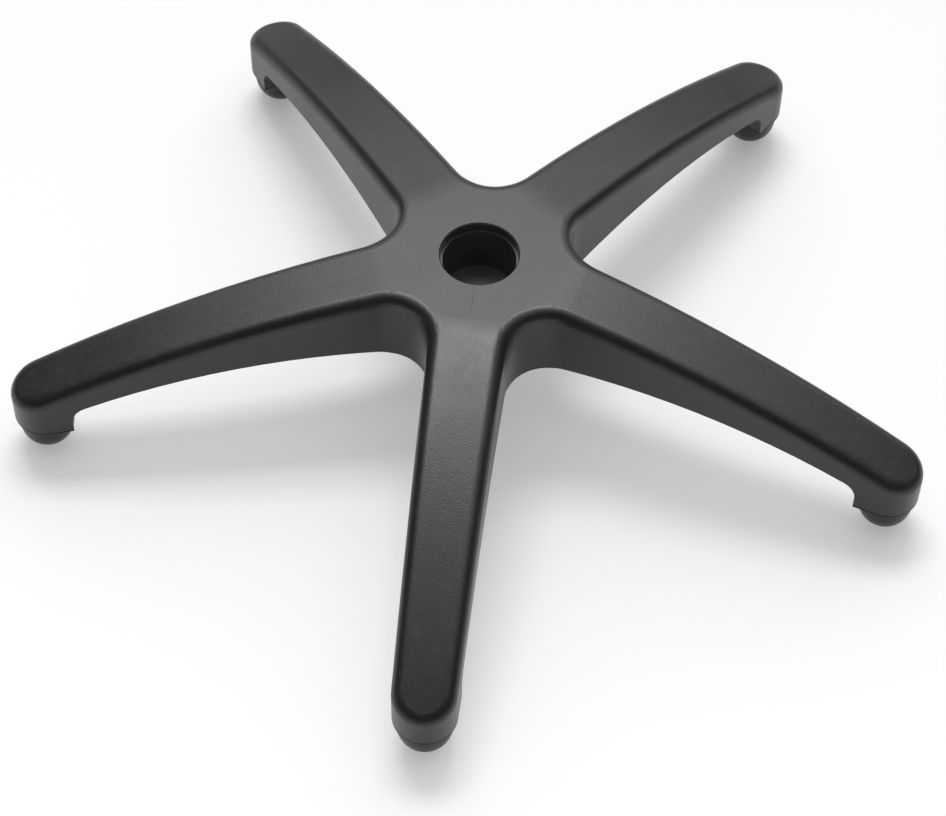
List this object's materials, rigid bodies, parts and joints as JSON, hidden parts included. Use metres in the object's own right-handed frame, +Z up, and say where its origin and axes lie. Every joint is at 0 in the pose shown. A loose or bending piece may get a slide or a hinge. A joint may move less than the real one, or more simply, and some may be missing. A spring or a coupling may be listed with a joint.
{
  "type": "office chair five star base",
  "caption": "Black moulded plastic star base of an office chair, arched legs with ribbed undersides, domed glides and a tapered central column socket.",
  "frame": {"origin": "on the floor, on the axis of the column socket", "axes": "+Z up along the column socket's axis, -Y along one leg, +X to the right of that leg seen from above"},
  "size_m": [0.615, 0.5869, 0.124],
  "materials": {
    "moulding": "matte",
    "glide": "satin",
    "stem": "satin"
  },
  "bodies": {
    "root": {"star_base": "moulding", "glides": "glide", "glide_stems": "stem"}
  },
  "joints": []
}
